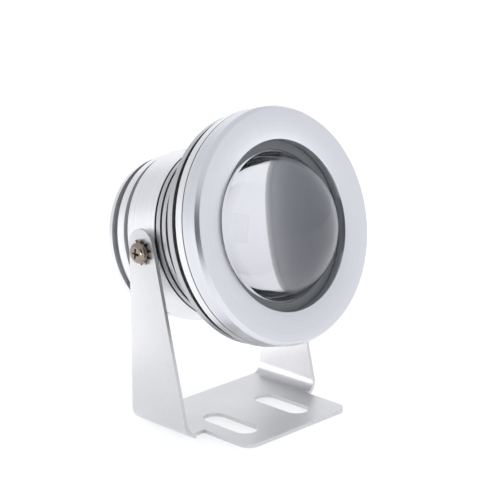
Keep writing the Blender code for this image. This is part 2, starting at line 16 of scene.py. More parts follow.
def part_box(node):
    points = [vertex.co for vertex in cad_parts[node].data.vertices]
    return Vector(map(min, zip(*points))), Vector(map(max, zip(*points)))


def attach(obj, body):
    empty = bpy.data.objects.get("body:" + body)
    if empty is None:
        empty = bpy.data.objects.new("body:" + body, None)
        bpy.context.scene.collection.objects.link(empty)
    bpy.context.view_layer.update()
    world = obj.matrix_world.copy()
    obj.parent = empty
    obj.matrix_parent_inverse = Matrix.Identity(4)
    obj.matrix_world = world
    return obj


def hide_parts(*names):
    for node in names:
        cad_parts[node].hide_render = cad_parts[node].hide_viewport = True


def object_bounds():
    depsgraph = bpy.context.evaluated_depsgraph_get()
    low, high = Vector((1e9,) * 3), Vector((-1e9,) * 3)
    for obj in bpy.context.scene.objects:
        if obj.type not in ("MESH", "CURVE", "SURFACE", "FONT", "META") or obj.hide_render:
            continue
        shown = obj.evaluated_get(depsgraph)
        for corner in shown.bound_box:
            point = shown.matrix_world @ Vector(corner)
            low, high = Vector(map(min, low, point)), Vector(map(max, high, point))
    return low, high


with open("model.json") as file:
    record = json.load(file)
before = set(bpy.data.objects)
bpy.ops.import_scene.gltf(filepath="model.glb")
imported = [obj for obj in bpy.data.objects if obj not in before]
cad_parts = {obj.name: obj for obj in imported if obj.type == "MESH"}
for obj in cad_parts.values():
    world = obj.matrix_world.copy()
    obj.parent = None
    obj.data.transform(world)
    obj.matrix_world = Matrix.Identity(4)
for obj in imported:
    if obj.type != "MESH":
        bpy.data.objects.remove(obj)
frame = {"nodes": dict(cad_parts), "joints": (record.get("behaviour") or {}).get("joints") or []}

cad_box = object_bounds()

# ----------------------------------------------------------------------------------------------------
# Camera: a long lens, a little above the lamp and off to its right hand, square to the pivot screw's side.
# ----------------------------------------------------------------------------------------------------
MM = 0.001
CAMERA_AZIMUTH = math.radians(-45.69)
CAMERA_ELEVATION = math.radians(16.75)
CAMERA_DISTANCE = 730 * MM
CAMERA_TARGET = Vector((21.26, 0.0, 58.34)) * MM
CAMERA_LENS_MM = 132.0


def direction(azimuth, elevation):
    """The unit vector towards a viewer; azimuth 0 stands in front of the lamp and looks along +Y."""
    return Vector((math.sin(azimuth) * math.cos(elevation), -math.cos(azimuth) * math.cos(elevation),
                   math.sin(elevation)))


camera_data = bpy.data.cameras.new("camera")
camera_data.lens = CAMERA_LENS_MM
camera_data.sensor_width = 36.0
camera_data.clip_start = 0.02
camera = bpy.data.objects.new("camera", camera_data)
towards_camera = direction(CAMERA_AZIMUTH, CAMERA_ELEVATION)
camera.location = CAMERA_TARGET + towards_camera * CAMERA_DISTANCE
camera.rotation_euler = (-towards_camera).to_track_quat("-Z", "Y").to_euler()
bpy.context.scene.collection.objects.link(camera)
bpy.context.scene.camera = camera
bpy.context.scene.view_settings.view_transform = "Standard"

# ----------------------------------------------------------------------------------------------------
# Studio: a white paper floor and a white room, with big soft panels. Panels give the turned metal its long
# highlights; they are lights, so the camera doesn't see them.
# ----------------------------------------------------------------------------------------------------


def linear(hex_colour):
    """An sRGB hex colour as linear RGBA."""
    channels = [int(hex_colour[i:i + 2], 16) / 255 for i in (1, 3, 5)]
    return tuple(c / 12.92 if c <= 0.04045 else ((c + 0.055) / 1.055) ** 2.4 for c in channels) + (1.0,)


def add_node(tree, kind, inputs=(), **settings):
    """Adds a node; inputs maps a socket's name or number to a value or to another socket."""
    node = tree.nodes.new(kind)
    for key, value in settings.items():
        setattr(node, key, value)
    for key, value in dict(inputs).items():
        if isinstance(value, bpy.types.NodeSocket):
            tree.links.new(value, node.inputs[key])
        else:
            node.inputs[key].default_value = value
    return node


def new_material(name, **values):
    """A Principled material; values are its uniform sockets. Gives the material, its tree and its shader."""
    material = bpy.data.materials.new(name)
    material.use_nodes = True
    tree = material.node_tree
    shader = tree.nodes["Principled BSDF"]
    for key, value in values.items():
        shader.inputs[key.replace("_", " ")].default_value = value
    return material, tree, shader


def make_paper():
    """Matt white background paper with its faint tooth."""
    material, tree, shader = new_material("white_background_paper", Roughness=0.9, Specular_IOR_Level=0.2)
    where = add_node(tree, "ShaderNodeTexCoord").outputs["Object"]
    grain = add_node(tree, "ShaderNodeTexNoise", {"Vector": where, "Scale": 60.0, "Detail": 2.0})
    tone = add_node(tree, "ShaderNodeMix", {"Factor": grain.outputs["Fac"], "A": linear("#F5F5F5"),
                                            "B": linear("#F8F8F8")}, data_type="RGBA")
    tree.links.new(tone.outputs["Result"], shader.inputs["Base Color"])
    return material


def make_black():
    """Matt black flock, as on the flags that a studio puts beside a shiny product."""
    material, tree, shader = new_material("black_flock", Roughness=1.0, Specular_IOR_Level=0.1)
    where = add_node(tree, "ShaderNodeTexCoord").outputs["Object"]
    grain = add_node(tree, "ShaderNodeTexNoise", {"Vector": where, "Scale": 400.0})
    tone = add_node(tree, "ShaderNodeMix", {"Factor": grain.outputs["Fac"], "A": linear("#0C0C0C"),
                                            "B": linear("#161616")}, data_type="RGBA")
    tree.links.new(tone.outputs["Result"], shader.inputs["Base Color"])
    return material


def add_sheet(name, half_width, half_height, placing, material):
    """A flat stage sheet, its place in its mesh."""
    bm = bmesh.new()
    bmesh.ops.create_grid(bm, x_segments=1, y_segments=1, size=1.0)
    bm.transform(placing @ Matrix.Diagonal((half_width, half_height, 1.0, 1.0)))
    mesh = bpy.data.meshes.new(name)
    bm.to_mesh(mesh)
    bm.free()
    mesh.materials.append(material)
    sheet = bpy.data.objects.new(name, mesh)
    bpy.context.scene.collection.objects.link(sheet)
    return sheet


FLOOR_HALF = 4.0
lamp_centre = Vector((0.0, -0.01, 0.075))
floor_place = Matrix.Translation((0, 0, cad_box[0].z - 0.1 * MM))
floor = add_sheet("floor", FLOOR_HALF, FLOOR_HALF, floor_place, make_paper())
# Rays that leave the lens pass the floor by and see the even room instead.
floor.visible_transmission = False


def add_flag(name, azimuth_deg, elevation_deg, distance, half_width, half_height, material):
    """A flag that faces the lamp and that the camera doesn't see."""
    towards = direction(math.radians(azimuth_deg), math.radians(elevation_deg))
    turn = towards.to_track_quat("Z", "Y").to_matrix().to_4x4()
    placing = Matrix.Translation(lamp_centre + towards * distance) @ turn
    flag = add_sheet(name, half_width, half_height, placing, material)
    flag.visible_camera = False
    flag.visible_shadow = False
    return flag


flock = make_black()
add_flag("left_flag", -73, 14, 0.55, 0.13, 0.20, flock)

world = bpy.data.worlds.new("studio")
bpy.context.scene.world = world
world.use_nodes = True
sky = world.node_tree.nodes["Background"]
sky.inputs["Color"].default_value = linear("#F4F5FA")
height = add_node(world.node_tree, "ShaderNodeSeparateXYZ", {
    0: add_node(world.node_tree, "ShaderNodeTexCoord").outputs["Generated"]}).outputs["Z"]
fade = add_node(world.node_tree, "ShaderNodeMapRange", {"Value": height, "From Min": -0.05, "From Max": 0.45,
                                                       "To Min": 0.98, "To Max": 0.84})
world.node_tree.links.new(fade.outputs[0], sky.inputs["Strength"])


def add_light(name, kind, azimuth_deg, elevation_deg, distance, power, hex_colour="#FFFFFF"):
    """A light that points at the lamp and that the camera doesn't see."""
    data = bpy.data.lights.new(name, kind)
    data.energy = power
    data.color = linear(hex_colour)[:3]
    light = bpy.data.objects.new(name, data)
    towards = direction(math.radians(azimuth_deg), math.radians(elevation_deg))
    light.location = lamp_centre + towards * distance
    light.rotation_euler = (-towards).to_track_quat("-Z", "Y").to_euler()
    light.visible_camera = False
    bpy.context.scene.collection.objects.link(light)
    return light


def add_panel(name, azimuth_deg, elevation_deg, distance, width, height_m, power):
    """A rectangular soft panel."""
    panel = add_light(name, "AREA", azimuth_deg, elevation_deg, distance, power)
    panel.data.shape = "RECTANGLE"
    panel.data.size = width
    panel.data.size_y = height_m
    return panel


def light_only(light, receivers):
    """Makes a light fall on the given objects only, and lets nothing else throw its shadow."""
    chosen = bpy.data.collections.new(light.name + "_receivers")
    for receiver in receivers:
        chosen.objects.link(receiver)
    light.light_linking.receiver_collection = chosen
    light.light_linking.blocker_collection = chosen


add_panel("back_right_panel", 140, 15, 1.0, 0.9, 0.40, 0.3)
paper_light = add_light("paper_light", "SUN", 0, 88, 1.0, 1.5)
light_only(paper_light, [floor])

# ----------------------------------------------------------------------------------------------------
# Bracket: one sheet of 1.5 mm steel, laser cut flat and folded up at both sides, then sprayed silver.
# The blank is drawn flat, as (s, y), where s runs along the unfolded sheet, and then bent on its
# middle surface.
# ----------------------------------------------------------------------------------------------------
PIVOT = Vector(frame["joints"][0]["pos_m"])
bracket_low, bracket_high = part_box("bracket")
SHEET = 1.5 * MM
ARM_X = bracket_high.x - SHEET / 2
REAR_Y = bracket_high.y
BEND_R = 5.9 * MM - SHEET / 2
FLAT_HALF = ARM_X - BEND_R
BEND_LENGTH = BEND_R * math.pi / 2
ARM_START = FLAT_HALF + BEND_LENGTH
ARM_TOP_R = 6.4 * MM
ARM_TOP_Z = bracket_high.z - ARM_TOP_R
ARM_FRONT_AT_PIVOT = -4.9 * MM
ARM_FRONT_AT_FOOT = -23.3 * MM
TONGUE_FRONT_Y = bracket_low.y
TONGUE_LEFT = -25.8 * MM
TONGUE_RIGHT = 30.0 * MM
TONGUE_CORNER_R = 5.0 * MM
RELIEF_DEPTH = 1.8 * MM
RELIEF_OUTER = 31.6 * MM
SLOT_X = 14.3 * MM
SLOT_Y = -24.2 * MM
SLOT_WIDTH = 9.9 * MM
SLOT_LENGTH = 25.8 * MM
PIVOT_HOLE_R = 2.3 * MM


def arc(centre, radius, start_deg, end_deg, steps):
    """Points on an arc, as (u, v) pairs."""
    angles = [math.radians(start_deg + (end_deg - start_deg) * i / steps) for i in range(steps + 1)]
    return [(centre[0] + radius * math.cos(t), centre[1] + radius * math.sin(t)) for t in angles]


def unfolded(z):
    """Where a height on an arm lies along the flat sheet."""
    return ARM_START + z - (BEND_R + SHEET / 2)


def folded(s, y):
    """A point of the flat sheet once the sides are bent up."""
    side = 1 if s > 0 else -1
    past = abs(s) - FLAT_HALF
    if past <= 0:
        return Vector((s, y, SHEET / 2))
    if past <= BEND_LENGTH:
        turn = past / BEND_R
        rise = BEND_R * (1 - math.cos(turn))
        return Vector((side * (FLAT_HALF + BEND_R * math.sin(turn)), y, SHEET / 2 + rise))
    return Vector((side * ARM_X, y, SHEET / 2 + BEND_R + past - BEND_LENGTH))


def arm_outline():
    """The right arm's edge as (s, y), from its rear corner over the round top and down the slanted front."""
    slant = math.degrees(math.atan2(ARM_FRONT_AT_PIVOT - ARM_FRONT_AT_FOOT, PIVOT.z))
    top = arc((unfolded(ARM_TOP_Z), REAR_Y - ARM_TOP_R), ARM_TOP_R, 90, slant - 90, 24)
    foot_s = unfolded(0.0)
    return top + [(foot_s, ARM_FRONT_AT_FOOT)]


def blank_outlines():
    """The sheet's outer edge and its four holes, as lists of (s, y)."""
    r = TONGUE_CORNER_R
    notch_y = ARM_FRONT_AT_FOOT + RELIEF_DEPTH
    right = arm_outline() + [(RELIEF_OUTER, ARM_FRONT_AT_FOOT), (RELIEF_OUTER, notch_y)]
    right += [(TONGUE_RIGHT, notch_y)]
    tongue = (arc((TONGUE_RIGHT - r, TONGUE_FRONT_Y + r), r, 0, -90, 12)
              + arc((TONGUE_LEFT + r, TONGUE_FRONT_Y + r), r, -90, -180, 12))
    left = [(TONGUE_LEFT, notch_y), (-RELIEF_OUTER, notch_y), (-RELIEF_OUTER, ARM_FRONT_AT_FOOT)]
    left += [(-s, y) for s, y in reversed(arm_outline())]
    end = SLOT_WIDTH / 2
    reach = SLOT_LENGTH / 2 - end
    slots = [arc((x, SLOT_Y + reach), end, 0, 180, 20) + arc((x, SLOT_Y - reach), end, 180, 360, 20)
             for x in (-SLOT_X, SLOT_X)]
    holes = [arc((side * unfolded(PIVOT.z), 0.0), PIVOT_HOLE_R, 0, 360, 32)[:-1] for side in (-1, 1)]
    return [right + tongue + left] + slots + holes


def flat_blank():
    """The cut sheet as a flat mesh, scored across so that the bends come out round."""
    bm = bmesh.new()
    for outline in blank_outlines():
        verts = [bm.verts.new((s, y, 0)) for s, y in outline]
        for v, w in zip(verts, verts[1:] + verts[:1]):
            bm.edges.new((v, w))
    bmesh.ops.triangle_fill(bm, use_beauty=True, use_dissolve=False, edges=bm.edges[:], normal=(0, 0, 1))
    bend_steps = 14
    for side in (-1, 1):
        for i in range(bend_steps + 1):
            s = side * (FLAT_HALF + BEND_LENGTH * i / bend_steps)
            everything = bm.verts[:] + bm.edges[:] + bm.faces[:]
            bmesh.ops.bisect_plane(bm, geom=everything, plane_co=(s, 0, 0), plane_no=(1, 0, 0))
    return bm


def silver_paint():
    """Satin silver spray paint: fine aluminium flake and a faint orange peel, softer than bare metal."""
    material, tree, shader = new_material("silver_spray_paint", Metallic=0.8, Roughness=0.38)
    where = add_node(tree, "ShaderNodeTexCoord").outputs["Object"]
    flake = add_node(tree, "ShaderNodeTexNoise", {"Vector": where, "Scale": 2600.0, "Detail": 2.0})
    cloud = add_node(tree, "ShaderNodeTexNoise", {"Vector": where, "Scale": 35.0, "Detail": 3.0})
    both = add_node(tree, "ShaderNodeMath", {0: flake.outputs["Fac"], 1: cloud.outputs["Fac"]},
                    operation="ADD")
    share = add_node(tree, "ShaderNodeMapRange", {"Value": both.outputs[0], "From Min": 0.7, "From Max": 1.3})
    tone = add_node(tree, "ShaderNodeMix", {
        "Factor": share.outputs[0], "A": linear("#D0D0D1"), "B": linear("#DADADB")},
                    data_type="RGBA")
    tree.links.new(tone.outputs["Result"], shader.inputs["Base Color"])
    peel = add_node(tree, "ShaderNodeTexNoise", {"Vector": where, "Scale": 700.0, "Detail": 1.0})
    bump = add_node(tree, "ShaderNodeBump", {
        "Height": peel.outputs["Fac"], "Strength": 0.08, "Distance": 0.05 * MM})
    tree.links.new(bump.outputs["Normal"], shader.inputs["Normal"])
    return material


def baked(obj):
    """Replaces the object's mesh with what its modifiers make of it."""
    bpy.context.view_layer.update()
    graph = bpy.context.evaluated_depsgraph_get()
    result = bpy.data.meshes.new_from_object(obj.evaluated_get(graph))
    obj.modifiers.clear()
    obj.data = result
    result.name = obj.name
    return obj


def shown(name, bm, material):
    """Puts a bmesh in the scene as a smooth-shaded object."""
    mesh = bpy.data.meshes.new(name)
    bm.to_mesh(mesh)
    bm.free()
    mesh.shade_smooth()
    mesh.materials.append(material)
    obj = bpy.data.objects.new(name, mesh)
    bpy.context.scene.collection.objects.link(obj)
    return obj


def soften(obj, width, segments=3, angle_deg=30.0):
    """Rounds the hard edges a little, as tumbling, turning or paint leaves them."""
    bevel = obj.modifiers.new("edge", "BEVEL")
    bevel.width = width
    bevel.segments = segments
    bevel.limit_method = "ANGLE"
    bevel.angle_limit = math.radians(angle_deg)
    bevel.harden_normals = True
    return obj


def settle(obj, body, slot, *stands_for):
    """Finishes a piece: modifiers baked, then its body set and the CAD nodes it stands for hidden; slot is not
    used.
    """
    baked(obj)
    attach(obj, body)
    if stands_for:
        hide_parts(*stands_for)
    return obj


def make_bracket():
    """Folds the blank, gives it its thickness and breaks its edges."""
    bm = flat_blank()
    for vert in bm.verts:
        vert.co = folded(vert.co.x, vert.co.y)
    obj = shown("folded_bracket", bm, silver_paint())
    thickness = obj.modifiers.new("sheet", "SOLIDIFY")
    thickness.thickness = SHEET
    thickness.offset = 0.0
    thickness.use_even_offset = True
    soften(obj, 0.25 * MM, 2, 50.0)
    settle(obj, "bracket", "silver_painted_steel", "bracket")
    return obj


bracket = make_bracket()
light_only(add_panel("plate_panel", 140, 15, 1.0, 0.9, 0.40, 0.4), [bracket])
light_only(add_panel("inner_arm_kicker", -162, -31, 0.104, 0.07, 0.05, 0.06), [bracket])

# ----------------------------------------------------------------------------------------------------
# Housing: the barrel, turned from aluminium bar. It has a smooth grip length, three fine grooves, two
# fins and the flange that the bezel closes on. It is clear anodised over the marks of the lathe.
# ----------------------------------------------------------------------------------------------------
LAMP_TILT = math.radians(15.3)
HEAD_FRAME = Matrix.Translation(PIVOT) @ Matrix.Rotation(-LAMP_TILT, 4, "X")
CLEARANCE = 0.3 * MM
BEZEL_R = 45.0 * MM
BEZEL_FACE_A = 41.6 * MM
BEZEL_BACK_A = 33.4 * MM
BARREL_R = 33.8 * MM
BARREL_END_A = -17.8 * MM
FLANGE_BACK_A = 29.9 * MM
FLANGE_FRONT_A = BEZEL_BACK_A - CLEARANCE
SPIGOT_R = 41.3 * MM
LIP_R = 34.9 * MM
SPIGOT_BORE_R = LIP_R + 0.4 * MM
LENS_SEAT_A = 30.2 * MM
WEB_FRONT_A = 19.0 * MM
WEB_BACK_A = 15.0 * MM
DRIVER_SHOULDER_A = 7.0 * MM
PAD_X = 33.3 * MM
TURNED_STEPS = 180


def turned(profile, steps=TURNED_STEPS, placing=HEAD_FRAME):
    """Spins a closed outline of (a, r) points about the -Y axis and puts it in the tilted head."""
    bm = bmesh.new()
    verts = [bm.verts.new((0.0, -a, r)) for a, r in profile]
    edges = [bm.edges.new((v, w)) for v, w in zip(verts, verts[1:] + verts[:1])]
    bmesh.ops.spin(bm, geom=verts + edges, cent=(0, 0, 0), axis=(0, 1, 0), angle=math.tau, steps=steps,
                   use_merge=True)
    on_axis = [v for v in bm.verts if math.hypot(v.co.x, v.co.z) < 1e-7]
    bmesh.ops.remove_doubles(bm, verts=on_axis, dist=1e-6)
    bmesh.ops.dissolve_degenerate(bm, edges=bm.edges, dist=1e-7)
    bmesh.ops.recalc_face_normals(bm, faces=bm.faces)
    bm.transform(placing)
    return bm


def lamp_coordinates(tree):
    """Sockets for a point in the lamp's frame: its vector, place along the axis and distance from it."""
    where = add_node(tree, "ShaderNodeTexCoord").outputs["Object"]
    local = add_node(tree, "ShaderNodeMapping", {
        "Vector": where, "Location": PIVOT, "Rotation": (-LAMP_TILT, 0, 0)}, vector_type="TEXTURE").outputs[0]
    flat = add_node(tree, "ShaderNodeVectorMath", {0: local, 1: (1, 0, 1)}, operation="MULTIPLY").outputs[0]
    radius = add_node(tree, "ShaderNodeVectorMath", {0: flat}, operation="LENGTH").outputs["Value"]
    along = add_node(tree, "ShaderNodeSeparateXYZ", {0: local}).outputs["Y"]
    return local, along, radius


def lathe_lines(tree, along, radius, spacing, detail=2.0):
    """A height that changes only along and away from the axis, as a cutting tool leaves it."""
    path = add_node(tree, "ShaderNodeCombineXYZ", {"X": along, "Y": radius})
    return add_node(tree, "ShaderNodeTexNoise", {"Vector": path.outputs[0], "Scale": 1 / spacing,
                                                 "Detail": detail,
                                                 "Roughness": 0.6}).outputs["Fac"]


# The outside of barrel and cap as one stepped envelope: its radius behind the first step, then where along the
# axis it steps and by how much.
ENVELOPE_START_R = 32.0 * MM
ENVELOPE_STEPS = [(-20.0, 0.7), (-13.7, 1.1), (17.3, 4.7), (23.9, 5.5), (27.2, 1.0)]


def painted_groove_shade(tree, along, radius):
    """Painted shade: 1 on the outside, falling in the grooves with the depth below the envelope, and over the
    fins.
    """
    depth = add_node(tree, "ShaderNodeMath", {0: ENVELOPE_START_R, 1: radius},
                     operation="SUBTRACT").outputs[0]
    for step_a, rise in ENVELOPE_STEPS:
        step = add_node(tree, "ShaderNodeMapRange", {
            "Value": along, "From Min": -(step_a - 0.3) * MM, "From Max": -(step_a + 0.3) * MM,
            "To Min": 0.0, "To Max": rise * MM})
        depth = add_node(tree, "ShaderNodeMath", {0: depth, 1: step.outputs[0]}, operation="ADD").outputs[0]
    depth_shade = add_node(tree, "ShaderNodeMapRange", {"Value": depth, "From Min": 0.4 * MM,
                                                       "From Max": 1.7 * MM,
                                                       "To Min": 1.0, "To Max": 0.5}).outputs[0]
    # Painted shade over the fins: darker from just behind the first fine groove to the flange.
    fin_shade = add_node(tree, "ShaderNodeMapRange", {"Value": along, "From Min": -4.6 * MM,
                                                     "From Max": -5.2 * MM,
                                                     "To Min": 1.0, "To Max": 0.64}).outputs[0]
    beyond_fins = add_node(tree, "ShaderNodeMapRange", {
        "Value": along, "From Min": -27.0 * MM, "From Max": -29.0 * MM, "To Min": 0.0,
        "To Max": 0.36}).outputs[0]
    zone = add_node(tree, "ShaderNodeMath", {0: fin_shade, 1: beyond_fins}, operation="ADD").outputs[0]
    return add_node(tree, "ShaderNodeMath", {0: depth_shade, 1: zone}, operation="MULTIPLY").outputs[0]


def turned_aluminium(name, dark, light, roughness, ring_share=1.0, shade=painted_groove_shade):
    """Clear-anodised turned aluminium: fine rings from the tool, and a highlight drawn out across them."""
    material, tree, shader = new_material(name, Metallic=1.0, Roughness=roughness, Anisotropic=0.5)
    local, along, radius = lamp_coordinates(tree)
    rings = lathe_lines(tree, along, radius, 1.3 * MM)
    fine = lathe_lines(tree, along, radius, 0.35 * MM)
    both = add_node(tree, "ShaderNodeMath", {0: rings, 1: fine}, operation="ADD").outputs[0]
    share = add_node(tree, "ShaderNodeMapRange", {"Value": both, "From Min": 0.7, "From Max": 1.3}).outputs[0]
    tone = add_node(tree, "ShaderNodeMix", {"Factor": share, "A": linear(dark), "B": linear(light)},
                    data_type="RGBA")
    colour = tone.outputs["Result"]
    # A shade function paints shade into the colour: darker in the grooves and over the fins.
    if shade:
        colour = add_node(tree, "ShaderNodeVectorMath", {0: colour, "Scale": shade(tree, along, radius)},
                          operation="SCALE").outputs[0]
    tree.links.new(colour, shader.inputs["Base Color"])
    bump = add_node(tree, "ShaderNodeBump", {
        "Height": both, "Strength": ring_share * 0.12, "Distance": 0.02 * MM})
    tree.links.new(bump.outputs["Normal"], shader.inputs["Normal"])
    axis = HEAD_FRAME.to_3x3() @ Vector((0, 1, 0))
    away = add_node(tree, "ShaderNodeTexCoord").outputs["Object"]
    offset = add_node(tree, "ShaderNodeVectorMath", {0: away, 1: PIVOT}, operation="SUBTRACT").outputs[0]
    tangent = add_node(tree, "ShaderNodeVectorMath", {0: offset, 1: axis}, operation="CROSS_PRODUCT").outputs[0]
    unit = add_node(tree, "ShaderNodeVectorMath", {0: tangent}, operation="NORMALIZE").outputs[0]
    tree.links.new(unit, shader.inputs["Tangent"])
    return material


def groove(back, front, outer_r, floor_r):
    """Four points of a square groove, from back to front."""
    return [(back, outer_r), (back, floor_r), (front, floor_r), (front, outer_r)]


def housing_profile():
    """The outside from the rear end forward, then the lens seat and the two cavities."""
    rear_land_r = 32.7 * MM
    outside = [(BARREL_END_A, rear_land_r)]
    outside += [(-14.0 * MM, rear_land_r), (-14.0 * MM, 31.3 * MM), (-10.4 * MM, 31.3 * MM)]
    outside += [(-10.4 * MM, BARREL_R)]
    for back, front in ((5.2, 6.2), (8.3, 9.5), (11.5, 12.7)):
        outside += groove(back * MM, front * MM, BARREL_R, BARREL_R - 1.4 * MM)
    outside += [(16.0 * MM, BARREL_R), (18.6 * MM, 35.0 * MM)]
    outside += [(18.6 * MM, 38.5 * MM), (20.6 * MM, 38.5 * MM), (20.6 * MM, 36.0 * MM)]
    outside += [(23.5 * MM, 37.2 * MM), (24.3 * MM, 44.0 * MM), (26.8 * MM, 44.0 * MM)]
    outside += [(26.8 * MM, 40.5 * MM), (FLANGE_BACK_A, 40.5 * MM), (FLANGE_BACK_A, BEZEL_R)]
    outside += [(FLANGE_FRONT_A, BEZEL_R), (FLANGE_FRONT_A, SPIGOT_R), (38.5 * MM, SPIGOT_R)]
    inside = [(38.5 * MM, SPIGOT_BORE_R), (LENS_SEAT_A, SPIGOT_BORE_R), (LENS_SEAT_A, 29.5 * MM)]
    inside += [(WEB_FRONT_A, 29.5 * MM), (WEB_FRONT_A, 0.0)]
    rear = [(WEB_BACK_A, 0.0), (WEB_BACK_A, 24.5 * MM), (DRIVER_SHOULDER_A, 24.5 * MM)]
    rear += [(DRIVER_SHOULDER_A, 26.5 * MM), (-9.0 * MM, 26.5 * MM), (-9.0 * MM, 28.0 * MM)]
    rear += [(BARREL_END_A, 28.0 * MM)]
    return outside + inside + rear


def rod(centre, axis, radius, length, steps=48, placing=HEAD_FRAME):
    """A solid cylinder along axis in the lamp's frame, put in the tilted head."""
    bm = bmesh.new()
    turn = Vector((0, 0, 1)).rotation_difference(Vector(axis)).to_matrix().to_4x4()
    bmesh.ops.create_cone(bm, cap_ends=True, segments=steps, radius1=radius, radius2=radius, depth=length,
                          matrix=placing @ Matrix.Translation(centre) @ turn)
    return bm


def cut(obj, cutter_bm, operation="DIFFERENCE"):
    """Cuts one solid with another at once."""
    cutter = shown(obj.name + "_cutter", cutter_bm, obj.data.materials[0])
    modifier = obj.modifiers.new("cut", "BOOLEAN")
    modifier.operation = operation
    modifier.object = cutter
    baked(obj)
    bpy.data.objects.remove(cutter, do_unlink=True)
    return obj


# Barrel and rear cap share this finish, with its painted shade in the grooves and over the fins.
barrel_aluminium = turned_aluminium("clear_anodised_barrel", "#E6E7E8", "#F6F6F7", 0.30)
housing = shown("turned_housing", turned(housing_profile()), barrel_aluminium)
PAD_R = 5.6 * MM
PAD_CUT = 4 * MM
PIVOT_HOLE_BOTTOM_X = 28.4 * MM
PIVOT_HOLE_CUT = 8 * MM
for side in (-1, 1):
    cut(housing, rod((side * (PAD_X + PAD_CUT / 2), 0, 0), (1, 0, 0), PAD_R, PAD_CUT))
    pivot_hole = (side * (PIVOT_HOLE_BOTTOM_X + PIVOT_HOLE_CUT / 2), 0, 0)
    cut(housing, rod(pivot_hole, (1, 0, 0), PIVOT_HOLE_R, PIVOT_HOLE_CUT))
soften(housing, 0.2 * MM)
settle(housing, "lamp_head", "anodised_aluminium", "housing")
light_only(add_panel("barrel_panel", -152, 6, 1.0, 0.5, 0.25, 0.12), [housing])

# ----------------------------------------------------------------------------------------------------
# Light engine, on the web inside the housing: grey thermal pad, white metal-core board, square phosphor
# emitter in its dam, three stainless screws, and the metallised reflector cup over them.
# ----------------------------------------------------------------------------------------------------


def speckled(name, dark, light, grain, **values):
    """A plain finish with a fine grain in its colour and surface; grain is the real size of a speck."""
    material, tree, shader = new_material(name, **values)
    where = add_node(tree, "ShaderNodeTexCoord").outputs["Object"]
    noise = add_node(tree, "ShaderNodeTexNoise", {
        "Vector": where, "Scale": 1 / grain, "Detail": 3.0}).outputs["Fac"]
    tone = add_node(tree, "ShaderNodeMix", {"Factor": noise, "A": linear(dark), "B": linear(light)},
                    data_type="RGBA")
    tree.links.new(tone.outputs["Result"], shader.inputs["Base Color"])
    bump = add_node(tree, "ShaderNodeBump", {"Height": noise, "Strength": 0.15, "Distance": grain / 20})
    tree.links.new(bump.outputs["Normal"], shader.inputs["Normal"])
    return material


def dress(node, material):
    """Gives a CAD node that is kept as it is its finish."""
    obj = frame["nodes"][node]
    obj.data.materials.clear()
    obj.data.materials.append(material)


# The stainless is a warm brown, darker than its own grey: painted dark reflection.
stainless = speckled("bright_stainless_steel", "#83766B", "#B0A499", 0.6 * MM, Metallic=1.0, Roughness=0.12)
dress("thermal_pad", speckled("filled_silicone_pad", "#5F7285", "#718599", 0.3 * MM, Roughness=0.85))
dress("led_board", speckled("white_solder_mask", "#DADAD6", "#ECECE8", 0.4 * MM, Roughness=0.45))
dress("led_emitter", speckled("phosphor_in_silicone", "#D9B13A", "#E8C455", 0.2 * MM, Roughness=0.35))
for screw in ("board_screw_1", "board_screw_2", "board_screw_3"):
    dress(screw, stainless)

reflector_metal = speckled("vacuum_metallised_plastic", "#6E6F74", "#7A7C83", 20.0 * MM, Metallic=1.0,
                           Roughness=0.3)
reflector = shown("reflector_cup", turned([
    (22.9 * MM, 8.5 * MM), (22.9 * MM, 9.3 * MM), (29.6 * MM, 28.6 * MM), (30.4 * MM, 28.6 * MM),
    (30.4 * MM, 27.8 * MM),
]), reflector_metal)
settle(reflector, "lamp_head", "metallised_plastic", "reflector")

# ----------------------------------------------------------------------------------------------------
# Driver: a green round board on the shoulder behind the web, with its parts, and two leads through the web.
# It is closed in by the rear cap, so it keeps its working shapes.
# ----------------------------------------------------------------------------------------------------
dress("driver_board", speckled("green_solder_mask", "#123F22", "#1B5530", 0.5 * MM, Roughness=0.4))
dress("capacitor", speckled("shrink_sleeve", "#15171E", "#1F222B", 0.5 * MM, Roughness=0.35))
winding = speckled("enamelled_copper_winding", "#7A3E1E", "#A35B2E", 0.4 * MM, Metallic=0.8, Roughness=0.35)
dress("inductor", winding)
dress("rectifier", speckled("moulded_epoxy", "#121212", "#1C1C1C", 0.2 * MM, Roughness=0.5))
dress("lead_positive", speckled("red_pvc_insulation", "#8E1512", "#A81D19", 0.6 * MM, Roughness=0.45))
dress("lead_negative", speckled("black_pvc_insulation", "#101010", "#1A1A1A", 0.6 * MM, Roughness=0.45))

# ----------------------------------------------------------------------------------------------------
# Lens and its seals: thick plano-convex glass on an O-ring, with a dark silicone gasket round the foot of
# the dome. The glass is ground and polished; its flange lies under the gasket.
# ----------------------------------------------------------------------------------------------------
LIP_BACK_A = 37.2 * MM
LENS_BACK_A = 32.6 * MM
LENS_FLANGE_A = 35.6 * MM
DOME_BASE_A = 37.0 * MM
DOME_BASE_R = 28.1 * MM
DOME_R = 30.0 * MM
GASKET_INNER_R = 28.7 * MM

silicone = speckled("charcoal_silicone_rubber", "#6C6F71", "#797C7E", 0.5 * MM, Roughness=0.38)
O_RING_R = 0.9 * MM
lens_ring_section = arc((LENS_SEAT_A + CLEARANCE + O_RING_R, 32.4 * MM), O_RING_R, 0, 345, 23)
lens_ring = shown("lens_seal_ring", turned(lens_ring_section, 120), silicone)
settle(lens_ring, "lamp_head", "black_silicone", "lens_o_ring")

gasket = shown("lens_gasket_ring", turned([
    (LENS_FLANGE_A + CLEARANCE, GASKET_INNER_R), (LENS_FLANGE_A + CLEARANCE, LIP_R),
    (LIP_BACK_A - CLEARANCE, LIP_R), (LIP_BACK_A - CLEARANCE, GASKET_INNER_R),
]), silicone)
soften(gasket, 0.3 * MM)
settle(gasket, "lamp_head", "black_silicone", "lens_gasket")


